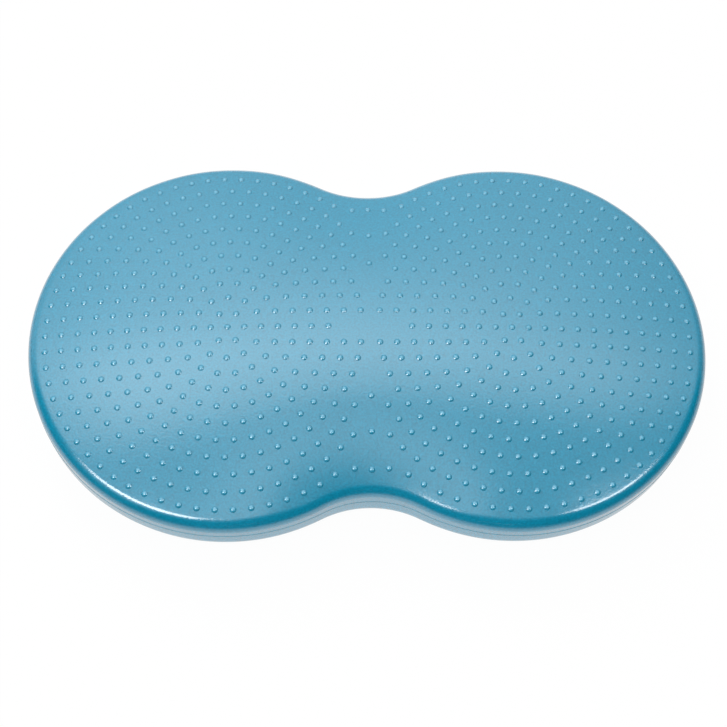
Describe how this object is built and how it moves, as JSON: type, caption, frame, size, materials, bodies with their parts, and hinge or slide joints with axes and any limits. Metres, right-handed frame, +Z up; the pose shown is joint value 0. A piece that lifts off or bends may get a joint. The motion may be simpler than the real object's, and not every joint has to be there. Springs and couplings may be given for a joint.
{
  "type": "wobble cushion",
  "caption": "Peanut-shaped inflatable wobble cushion with a welded rim, a studded domed top, a gently domed base and a pull-out air stopper.",
  "frame": {"origin": "middle of the flat patch that the base rests on", "axes": "+Z up, X along the length, Y across the width with the valve on the +Y side of the waist"},
  "size_m": [0.7436, 0.4376, 0.108],
  "materials": {
    "pvc_skin": "satin soft vinyl with a fine moulded grain",
    "pvc_weld": "satin",
    "pvc_collar": "satin",
    "grommet_rubber": "matt",
    "stopper_plastic": "satin",
    "cage_plastic": "satin"
  },
  "bodies": {
    "base": {"lower_shell": "pvc_skin", "seam_weld": "pvc_weld", "valve_collar": "pvc_collar", "valve_grommet": "grommet_rubber", "disc_cage": "cage_plastic"},
    "top": {"upper_shell": "pvc_skin"},
    "stopper": {"valve_stopper": "stopper_plastic", "stopper_seal": "grommet_rubber"},
    "disc": {"check_disc": "grommet_rubber"}
  },
  "joints": [
    {"name": "top_press", "type": "slide", "parent": "base", "child": "top", "axis": [0, 0, 1], "range_m": [-0.025, 0], "stiffness_N_per_m": 15000, "deforming": ["upper_shell"]},
    {"name": "stopper_pull", "type": "slide", "parent": "base", "child": "stopper", "axis": [0, 1, 0], "range_m": [0, 0.016]},
    {"name": "disc_lift", "type": "slide", "parent": "base", "child": "disc", "axis": [0, -1, 0], "range_m": [0, 0.002]}
  ]
}
